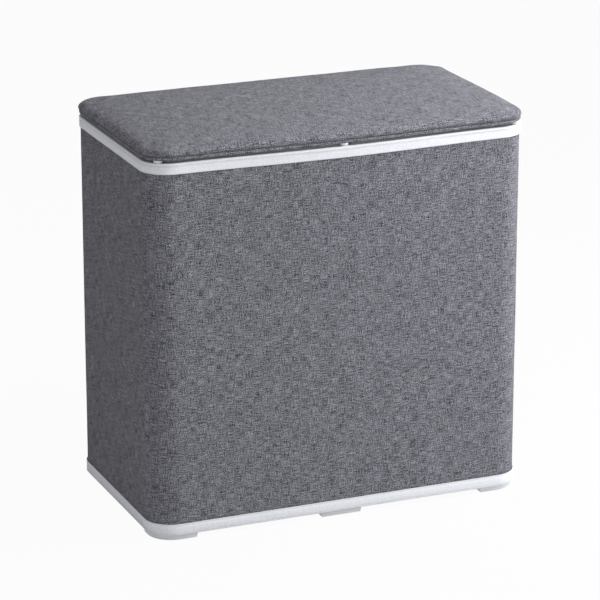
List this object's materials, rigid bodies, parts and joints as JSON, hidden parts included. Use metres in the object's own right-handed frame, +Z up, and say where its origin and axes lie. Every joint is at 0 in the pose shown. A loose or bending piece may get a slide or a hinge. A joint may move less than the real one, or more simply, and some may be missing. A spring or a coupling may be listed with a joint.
{
  "type": "laundry hamper",
  "caption": "Cloth-covered laundry hamper on a footed tray, with lift-out fabric bins hung side by side from a rim frame and a padded lid hinged along the back.",
  "frame": {"origin": "on the floor, under the middle of the closed hamper's bounding box", "axes": "+Z up, the front faces -Y, +X to the right as seen from the front"},
  "size_m": [0.6108, 0.3526, 0.6098],
  "materials": {
    "grey_cloth": "heathered mid-grey linen-look plain weave with slubs, matt",
    "white_tape": "white woven tape with a dotted weave, matt",
    "tray_plastic": "moulded pale grey, fine grain",
    "inner_plastic": "moulded off-white, satin",
    "fibreboard": "brown pressed fibreboard, matt",
    "foam": null,
    "lining_cloth": "dark grey non-woven lining, matt",
    "bag_cloth": "off-white cotton canvas, matt",
    "webbing": "grey woven webbing",
    "steel": "zinc-plated, satin",
    "white_wire": "white dip coat on steel wire",
    "clear_plastic": "milky clear soft plastic"
  },
  "bodies": {
    "body": {"base_tray": "tray_plastic", "wall_board": "fibreboard", "wall_cloth": "grey_cloth", "bottom_binding": "white_tape", "top_binding": "white_tape", "back_joint_strip": "fibreboard", "base_rivet_front_left": "inner_plastic", "base_rivet_front_right": "inner_plastic", "base_rivet_rear_left": "inner_plastic", "base_rivet_rear_right": "inner_plastic", "base_rivet_left": "inner_plastic", "base_rivet_right": "inner_plastic", "rim_frame": "inner_plastic", "rim_rivet_left_front": "inner_plastic", "rim_rivet_left_rear": "inner_plastic", "rim_rivet_right_front": "inner_plastic", "rim_rivet_right_rear": "inner_plastic", "rim_rivet_rear_left": "inner_plastic", "rim_rivet_rear_right": "inner_plastic", "center_rail": "inner_plastic", "rail_screw_front": "steel", "rail_screw_rear": "steel", "hinge_body_leaf_left": "steel", "hinge_body_leaf_right": "steel", "hinge_pin_left": "steel", "hinge_pin_right": "steel", "hinge_body_screw_left_outer": "steel", "hinge_body_screw_left_inner": "steel", "hinge_body_screw_right_outer": "steel", "hinge_body_screw_right_inner": "steel"},
    "lid": {"lid_board": "fibreboard", "lid_pad": "foam", "lid_cover": "grey_cloth", "lid_liner": "lining_cloth", "lid_bumper_left": "clear_plastic", "lid_bumper_middle": "clear_plastic", "lid_bumper_right": "clear_plastic", "hinge_lid_leaf_left": "steel", "hinge_lid_leaf_right": "steel", "hinge_lid_screw_left_outer": "steel", "hinge_lid_screw_left_inner": "steel", "hinge_lid_screw_right_outer": "steel", "hinge_lid_screw_right_inner": "steel"},
    "bin_left": {"bin_left_wire_rim": "white_wire", "bin_left_bag": "bag_cloth", "bin_left_bottom_board": "fibreboard", "bin_left_handle_front": "webbing", "bin_left_handle_rear": "webbing"},
    "bin_right": {"bin_right_wire_rim": "white_wire", "bin_right_bag": "bag_cloth", "bin_right_bottom_board": "fibreboard", "bin_right_handle_front": "webbing", "bin_right_handle_rear": "webbing"}
  },
  "joints": [
    {"name": "lid_hinge", "type": "hinge", "parent": "body", "child": "lid", "pos_m": [0, 0.17288, 0.5844], "axis": [-1, 0, 0], "range_deg": [0, 100]},
    {"name": "bin_left_lift", "type": "slide", "parent": "body", "child": "bin_left", "axis": [0, 0, 1], "range_m": [0, 0.028]},
    {"name": "bin_right_lift", "type": "slide", "parent": "body", "child": "bin_right", "axis": [0, 0, 1], "range_m": [0, 0.028]}
  ]
}
